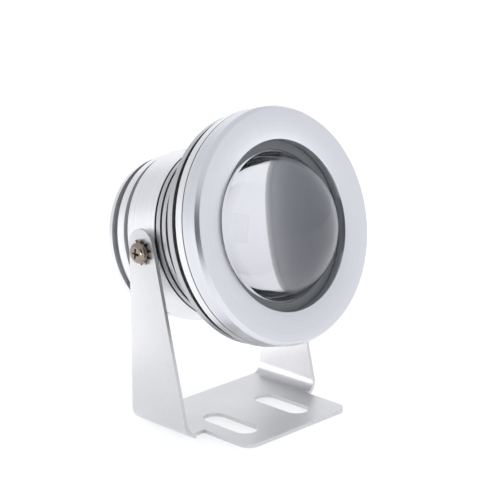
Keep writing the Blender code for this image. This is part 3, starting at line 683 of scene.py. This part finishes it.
def dome_profile(steps=64):
    """The lens outline: flat back, flange, and the dome up to its crown."""
    half_angle = math.asin(DOME_BASE_R / DOME_R)
    centre_a = DOME_BASE_A - DOME_R * math.cos(half_angle)
    angles = [half_angle * (1 - i / steps) for i in range(steps)]
    dome = [(centre_a + DOME_R * math.cos(t), DOME_R * math.sin(t)) for t in angles]
    foot = [(LENS_BACK_A, 0.0), (LENS_BACK_A, LIP_R), (LENS_FLANGE_A, LIP_R), (LENS_FLANGE_A, DOME_BASE_R)]
    return foot + dome + [(centre_a + DOME_R, 0.0)]


def optical_glass():
    """Polished borosilicate glass, clear inside the dome's foot; its ground flange is opaque, greyed as painted
    shade.
    """
    material, tree, shader = new_material("polished_lens", Roughness=0.0, IOR=1.474)
    local, along, radius = lamp_coordinates(tree)
    clear = add_node(tree, "ShaderNodeMapRange", {
        "Value": radius, "From Min": DOME_BASE_R + 0.1 * MM, "From Max": DOME_BASE_R + 0.15 * MM, "To Min": 1.0,
        "To Max": 0.0}).outputs[0]
    tree.links.new(clear, shader.inputs["Transmission Weight"])
    # Painted shade: the opaque flange is given a grey, as if shaded under the gasket.
    tone = add_node(tree, "ShaderNodeMix", {"Factor": clear, "A": linear("#C4C6C8"), "B": linear("#F4F5F7")},
                    data_type="RGBA")
    tree.links.new(tone.outputs["Result"], shader.inputs["Base Color"])
    return material


lens = shown("dome_lens", turned(dome_profile()), optical_glass())
lens.data.set_sharp_from_angle(angle=math.radians(40))
settle(lens, "lamp_head", "optical_glass", "lens")

# ----------------------------------------------------------------------------------------------------
# Bezel: the wide front ring, turned and screwed over the flange's spigot. Its face is satin, and
# an inner lip presses the gasket on the lens.
# ----------------------------------------------------------------------------------------------------
BORE_R = 32.3 * MM
SKIRT_R = SPIGOT_R + CLEARANCE
WALL_BACK_A = 38.9 * MM



bezel_aluminium = turned_aluminium("clear_anodised_bezel", "#DEDFE3", "#E4E5E9", 0.32, 0.3, None)
bezel = shown("front_bezel", turned([
    (BEZEL_BACK_A, SKIRT_R), (BEZEL_BACK_A, BEZEL_R), (39.8 * MM, BEZEL_R), (BEZEL_FACE_A, 43.9 * MM),
    (BEZEL_FACE_A, 35.5 * MM), (40.8 * MM, BORE_R), (LIP_BACK_A, BORE_R), (LIP_BACK_A, LIP_R),
    (WALL_BACK_A, LIP_R), (WALL_BACK_A, SKIRT_R),
]), bezel_aluminium)
soften(bezel, 0.2 * MM, angle_deg=20)
settle(bezel, "lamp_head", "anodised_aluminium", "bezel")

# ----------------------------------------------------------------------------------------------------
# Rear cap: screws into the back of the barrel on an O-ring. A deep groove stands behind its rim, and two blind
# holes take a pin spanner.
# ----------------------------------------------------------------------------------------------------
CAP_BACK_A = -24.5 * MM
CAP_R = 32.0 * MM
CAP_PLUG_R = 27.7 * MM
NECK_FRONT_A = BARREL_END_A - CLEARANCE

rear_cap = shown("turned_rear_cap", turned([
    (CAP_BACK_A, 6.3 * MM), (CAP_BACK_A, CAP_R - 0.8 * MM), (CAP_BACK_A + 0.8 * MM, CAP_R), (-21.8 * MM, CAP_R),
    (-21.8 * MM, 30.0 * MM), (NECK_FRONT_A, 30.0 * MM), (NECK_FRONT_A, CAP_PLUG_R), (-16.4 * MM, CAP_PLUG_R),
    (-16.4 * MM, 25.9 * MM), (-14.2 * MM, 25.9 * MM), (-14.2 * MM, CAP_PLUG_R), (-10.5 * MM, CAP_PLUG_R),
    (-10.5 * MM, 24.2 * MM), (-20.5 * MM, 24.2 * MM), (-20.5 * MM, 6.3 * MM),
]), barrel_aluminium)
for side in (-1, 1):
    cut(rear_cap, rod((side * 21.0 * MM, -CAP_BACK_A, 0), (0, 1, 0), 2.1 * MM, 5 * MM, 32))
soften(rear_cap, 0.2 * MM)
settle(rear_cap, "lamp_head", "anodised_aluminium", "rear_cap")

cap_ring = shown("cap_seal_ring", turned(arc((-15.3 * MM, 26.95 * MM), 0.7 * MM, 0, 345, 23), 120), silicone)
settle(cap_ring, "lamp_head", "black_silicone", "cap_o_ring")

# ----------------------------------------------------------------------------------------------------
# Cable gland, in the middle of the cap: a sealing washer, a nickel-plated brass body with a hexagon collar, a
# rubber sleeve that grips the cable, and a ribbed dome nut that squeezes the sleeve.
# ----------------------------------------------------------------------------------------------------
GLAND_BORE_R = 4.3 * MM
COLLAR_FRONT_A = -26.1 * MM
COLLAR_BACK_A = -29.6 * MM
COLLAR_CORNER_R = 17.0 * MM / math.sqrt(3)
NUT_FRONT_A = COLLAR_BACK_A - CLEARANCE
NUT_BARREL_BACK_A = -36.6 * MM
NUT_BACK_A = -40.0 * MM
NUT_R = 8.4 * MM
RIB_R = 0.4 * MM
RIBS = 28


def prism(outline, back, front, placing=HEAD_FRAME):
    """A closed outline of (x, z) points, swept along the axis from back to front."""
    bm = bmesh.new()
    face = bm.faces.new([bm.verts.new((x, -back, z)) for x, z in outline])
    swept = bmesh.ops.extrude_face_region(bm, geom=[face])["geom"]
    swept_verts = [v for v in swept if isinstance(v, bmesh.types.BMVert)]
    bmesh.ops.translate(bm, verts=swept_verts, vec=(0, back - front, 0))
    bmesh.ops.recalc_face_normals(bm, faces=bm.faces)
    bm.transform(placing)
    return bm


def ring_tree():
    """A geometry tree that copies Part evenly about the Y axis, Count times, and joins the copies to Base."""
    tree = bpy.data.node_groups.new("ring_of_parts", "GeometryNodeTree")
    for name, kind in (("Base", "Object"), ("Part", "Object"), ("Count", "Int"), ("Finish", "Material")):
        tree.interface.new_socket(name, in_out="INPUT", socket_type="NodeSocket" + kind)
    tree.interface.new_socket("Geometry", in_out="OUTPUT", socket_type="NodeSocketGeometry")
    given = tree.nodes.new("NodeGroupInput").outputs
    step = add_node(tree, "ShaderNodeMath", {0: math.tau, 1: given["Count"]}, operation="DIVIDE").outputs[0]
    index = add_node(tree, "GeometryNodeInputIndex").outputs[0]
    turn = add_node(tree, "ShaderNodeMath", {0: index, 1: step}, operation="MULTIPLY").outputs[0]
    spin = add_node(tree, "ShaderNodeCombineXYZ", {"Y": turn}).outputs[0]
    points = add_node(tree, "GeometryNodePoints", {"Count": given["Count"]}).outputs[0]
    part = add_node(tree, "GeometryNodeObjectInfo", {"Object": given["Part"]}).outputs["Geometry"]
    copies = add_node(tree, "GeometryNodeInstanceOnPoints", {
        "Points": points, "Instance": part, "Rotation": spin})
    real = add_node(tree, "GeometryNodeRealizeInstances", {0: copies.outputs[0]}).outputs[0]
    base = add_node(tree, "GeometryNodeObjectInfo", {"Object": given["Base"]}).outputs["Geometry"]
    joined = add_node(tree, "GeometryNodeJoinGeometry", {0: base})
    tree.links.new(real, joined.inputs[0])
    finish = add_node(tree, "GeometryNodeSetMaterial", {
        "Geometry": joined.outputs[0], "Material": given["Finish"]})
    tree.links.new(finish.outputs[0], tree.nodes.new("NodeGroupOutput").inputs["Geometry"])
    return tree


ring_of_parts = ring_tree()


def ringed(name, base_bm, part_bm, count, material, placing):
    """A base with count copies of a part about its axis, baked and put in its place."""
    base = shown(name + "_base", base_bm, material)
    part = shown(name + "_part", part_bm, material)
    obj = shown(name, bmesh.new(), material)
    modifier = obj.modifiers.new("ring", "NODES")
    values = {"Base": base, "Part": part, "Count": count, "Finish": material}
    modifier.node_group = ring_of_parts
    for item in ring_of_parts.interface.items_tree:
        if item.in_out == "INPUT":
            modifier[item.identifier] = values[item.name]
    baked(obj)
    for helper in (base, part):
        bpy.data.objects.remove(helper, do_unlink=True)
    obj.data.transform(placing)
    return obj


nickel = speckled("bright_nickel_plating", "#B4B2AC", "#C6C4BE", 0.8 * MM, Metallic=1.0, Roughness=0.2)

gland_washer = shown("gland_sealing_washer", turned([
    (-25.8 * MM, 6.5 * MM), (-25.8 * MM, 8.9 * MM), (-24.8 * MM, 8.9 * MM), (-24.8 * MM, 6.5 * MM),
], 96), silicone)
soften(gland_washer, 0.15 * MM)
settle(gland_washer, "lamp_head", "black_silicone", "gland_washer")

hexagon = arc((0, 0), COLLAR_CORNER_R, 0, 300, 5)
collar = shown("gland_collar", prism(hexagon, COLLAR_BACK_A, COLLAR_FRONT_A), nickel)
collar_chamfer = 0.7 * MM
cut(collar, turned([
    (COLLAR_BACK_A, 0.0), (COLLAR_BACK_A, 8.9 * MM),
    (COLLAR_BACK_A + collar_chamfer, COLLAR_CORNER_R + 0.1 * MM),
    (COLLAR_FRONT_A - collar_chamfer, COLLAR_CORNER_R + 0.1 * MM),
    (COLLAR_FRONT_A, 8.9 * MM), (COLLAR_FRONT_A, 0.0),
], 96), "INTERSECT")
cut(collar, turned([
    (-19.6 * MM, GLAND_BORE_R), (-19.6 * MM, 6.0 * MM), (COLLAR_FRONT_A - MM, 6.0 * MM),
    (COLLAR_FRONT_A - MM, 6.4 * MM), (-36.0 * MM, 6.4 * MM), (-36.0 * MM, GLAND_BORE_R),
], 96), "UNION")
cut(collar, rod((0, 28.0 * MM, 0), (0, 1, 0), GLAND_BORE_R, 20 * MM))
soften(collar, 0.12 * MM, 2)
settle(collar, "lamp_head", "nickel_plated_brass", "gland_body")

gland_seal = shown("gland_sleeve", turned([
    (-36.6 * MM, 2.5 * MM), (-36.6 * MM, 4.0 * MM), (-30.0 * MM, 4.0 * MM), (-30.0 * MM, 2.5 * MM),
], 96), silicone)
soften(gland_seal, 0.3 * MM)
settle(gland_seal, "lamp_head", "black_silicone", "gland_seal")

nut_profile = [(NUT_FRONT_A, 6.7 * MM), (NUT_FRONT_A, NUT_R - RIB_R), (NUT_BARREL_BACK_A, NUT_R - RIB_R)]
nut_profile += [(-38.0 * MM, 7.7 * MM), (-39.2 * MM, 6.9 * MM), (-39.8 * MM, 6.0 * MM), (NUT_BACK_A, 5.2 * MM)]
nut_profile += [(NUT_BACK_A, 3.4 * MM), (-37.2 * MM, 3.9 * MM), (-37.2 * MM, 6.7 * MM)]
rib_middle_a = (NUT_FRONT_A + NUT_BARREL_BACK_A) / 2
rib = rod((NUT_R - RIB_R, -rib_middle_a, 0), (0, 1, 0), RIB_R, 5.6 * MM, 12, Matrix())
dome_nut = ringed("gland_dome_nut", turned(nut_profile, 96, Matrix()), rib, RIBS, nickel, HEAD_FRAME)
soften(dome_nut, 0.08 * MM, 2, 50.0)
settle(dome_nut, "lamp_head", "nickel_plated_brass", "gland_nut")

# ----------------------------------------------------------------------------------------------------
# Pivot hardware, on both sides, from the barrel outwards: a black nylon spacer, the arm, an external-tooth
# lock washer of spring steel and a stainless M4 pan-head screw with a cross recess. The head turns on the
# two screws.
# ----------------------------------------------------------------------------------------------------
SPACER_R = 5.2 * MM
SPACER_BACK = PAD_X + CLEARANCE
SPACER_FRONT = ARM_X - SHEET / 2 - CLEARANCE
WASHER_BACK = ARM_X + SHEET / 2 + CLEARANCE
WASHER_THICKNESS = 0.7 * MM
WASHER_ROOT_R = 4.0 * MM
WASHER_R = 5.1 * MM
TEETH = 10
TOOTH_TWIST = math.radians(14.0)
UNDER_HEAD = WASHER_BACK + WASHER_THICKNESS + CLEARANCE
HEAD_R = 4.0 * MM
HEAD_HEIGHT = 2.6 * MM
HEAD_CORNER = Vector((1.6, 1.9)) * MM
SHANK_R = 1.95 * MM
SHANK_LENGTH = 8.2 * MM
RECESS_DEPTH = 1.9 * MM

nylon = speckled("black_nylon", "#161616", "#202020", 0.4 * MM, Roughness=0.5)


def washer_tooth():
    """One tooth on the washer's rim, narrowing outwards and twisted out of the flat."""
    root = WASHER_ROOT_R - 0.3 * MM
    base_half = 0.65 * MM
    tip_half = 0.45 * MM
    thickness = 0.36 * MM
    outline = [(root, -base_half), (WASHER_R, -tip_half), (WASHER_R, tip_half), (root, base_half)]
    bm = prism(outline, -thickness / 2, thickness / 2, Matrix())
    bm.transform(Matrix.Translation((0, -WASHER_BACK - WASHER_THICKNESS / 2, 0))
                 @ Matrix.Rotation(TOOTH_TWIST, 4, "X"))
    return bm


def recess_wing(turn_deg, placing):
    """One of the two crossed, tapering wings of the screwdriver's recess."""
    bm = bmesh.new()
    bmesh.ops.create_cube(bm, size=1.0)
    for vert in bm.verts:
        outside = vert.co.y < 0
        half_length = (2.1 if outside else 0.9) * MM
        half_width = (0.45 if outside else 0.3) * MM
        rise = 0.05 * MM if outside else -RECESS_DEPTH
        vert.co = Vector((math.copysign(half_length, vert.co.x), -(UNDER_HEAD + HEAD_HEIGHT + rise),
                          math.copysign(half_width, vert.co.z)))
    bm.transform(placing @ Matrix.Rotation(math.radians(turn_deg), 4, "Y"))
    return bm


def pan_head_profile():
    """Shank and head of the screw, from the tip of the shank to the crown."""
    centre = (UNDER_HEAD + HEAD_HEIGHT - HEAD_CORNER.x, HEAD_R - HEAD_CORNER.y)
    crown = [(centre[0] + HEAD_CORNER.x * math.sin(t), centre[1] + HEAD_CORNER.y * math.cos(t))
             for t in [math.radians(90 * i / 10) for i in range(11)]]
    tip = UNDER_HEAD - SHANK_LENGTH
    shank = [(tip, 0.0), (tip, SHANK_R - 0.3 * MM), (tip + 0.3 * MM, SHANK_R), (UNDER_HEAD, SHANK_R)]
    return shank + [(UNDER_HEAD, HEAD_R)] + crown + [(UNDER_HEAD + HEAD_HEIGHT, 0.0)]


def make_pivot_hardware(name, side, recess_turn_deg):
    """Spacer, lock washer and screw of one side."""
    outward = HEAD_FRAME @ Matrix.Rotation(side * math.pi / 2, 4, "Z")
    spacer = shown(f"nylon_spacer_{name}", turned([
        (SPACER_BACK, PIVOT_HOLE_R), (SPACER_BACK, SPACER_R), (SPACER_FRONT, SPACER_R),
        (SPACER_FRONT, PIVOT_HOLE_R),
    ], 96, outward), nylon)
    soften(spacer, 0.15 * MM)
    settle(spacer, "lamp_head", "black_nylon", f"spacer_{name}")
    disc = turned([
        (WASHER_BACK + 0.1 * MM, PIVOT_HOLE_R), (WASHER_BACK + 0.1 * MM, WASHER_ROOT_R),
        (WASHER_BACK + 0.6 * MM, WASHER_ROOT_R), (WASHER_BACK + 0.6 * MM, PIVOT_HOLE_R),
    ], 80, Matrix())
    washer = ringed(f"toothed_washer_{name}", disc, washer_tooth(), TEETH, washer_steel_painted_dark, outward)
    soften(washer, 0.06 * MM, 2)
    settle(washer, "lamp_head", "stainless_steel", f"lock_washer_{name}")
    screw = shown(f"pan_head_screw_{name}", turned(pan_head_profile(), 96, outward), stainless)
    for turn_deg in (recess_turn_deg, recess_turn_deg + 90.0):
        cut(screw, recess_wing(turn_deg, outward))
    soften(screw, 0.06 * MM, 2)
    settle(screw, "lamp_head", "stainless_steel", f"pivot_screw_{name}")
    return [screw, washer]


# The washer's dark brown is painted dark reflection and painted shade against the arm.
washer_steel_painted_dark = speckled("toothed_spring_steel", "#574D45", "#80756B", 0.4 * MM, Metallic=1.0, Roughness=0.22)
left_hardware = make_pivot_hardware("left", -1, 20.0)
right_hardware = make_pivot_hardware("right", 1, 65.0)
light_only(add_panel("screw_panel", -84, -6, 0.5, 0.10, 0.10, 0.30), left_hardware + right_hardware)
